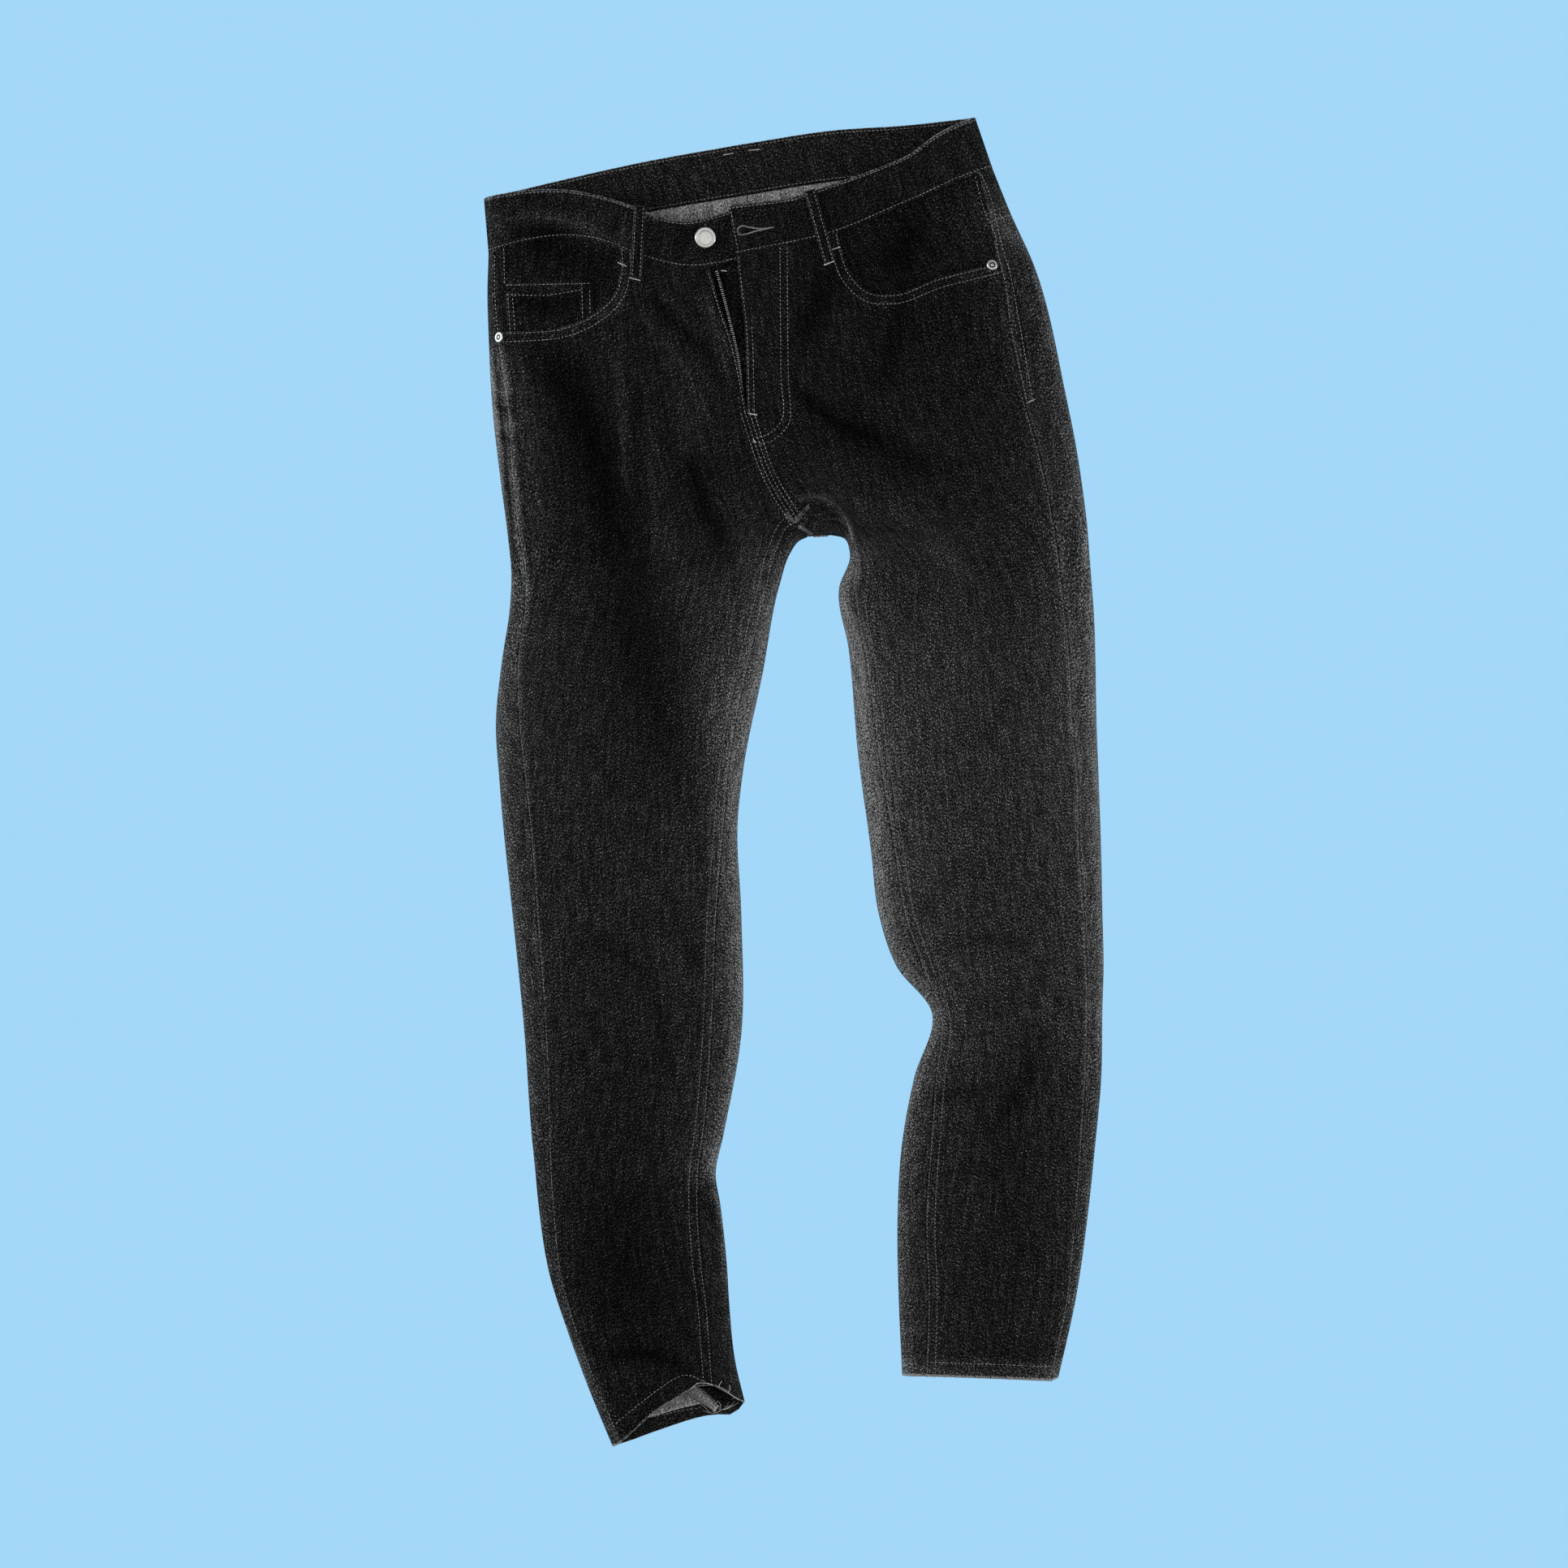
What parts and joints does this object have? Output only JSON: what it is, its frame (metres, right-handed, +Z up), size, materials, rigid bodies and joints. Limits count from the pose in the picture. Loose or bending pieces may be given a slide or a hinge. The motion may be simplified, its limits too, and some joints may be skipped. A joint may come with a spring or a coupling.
{
  "type": "slim jeans",
  "caption": "Slim denim jeans laid flat, front up, with the waist button undone, the fly open and one leg bent at the knee.",
  "frame": {"origin": "centre of the jeans in plan, on the surface that they lie on", "axes": "+Y towards the waist, +X towards the wearer's left, +Z up from the surface through the front"},
  "size_m": [0.52, 1.1148, 0.0275],
  "materials": {
    "denim": "black twill",
    "zip_tape_black": "woven tape",
    "nickel_steel": "satin"
  },
  "bodies": {
    "root": {"front_right": "denim", "front_left": "denim", "back_right": "denim", "back_left": "denim", "yoke_right": "denim", "yoke_left": "denim", "waistband": "denim", "pocket_facing_right": "denim", "pocket_facing_left": "denim", "coin_pocket": "denim", "fly_shield": "denim", "zip_tape": "zip_tape_black", "belt_loop_front_right": "denim", "belt_loop_front_left": "denim", "belt_loop_back_right": "denim", "belt_loop_back_left": "denim", "belt_loop_back_centre": "denim", "back_pocket_right": "denim", "back_pocket_left": "denim", "button": "nickel_steel", "rivet_right": "nickel_steel", "rivet_left": "nickel_steel"}
  },
  "joints": []
}
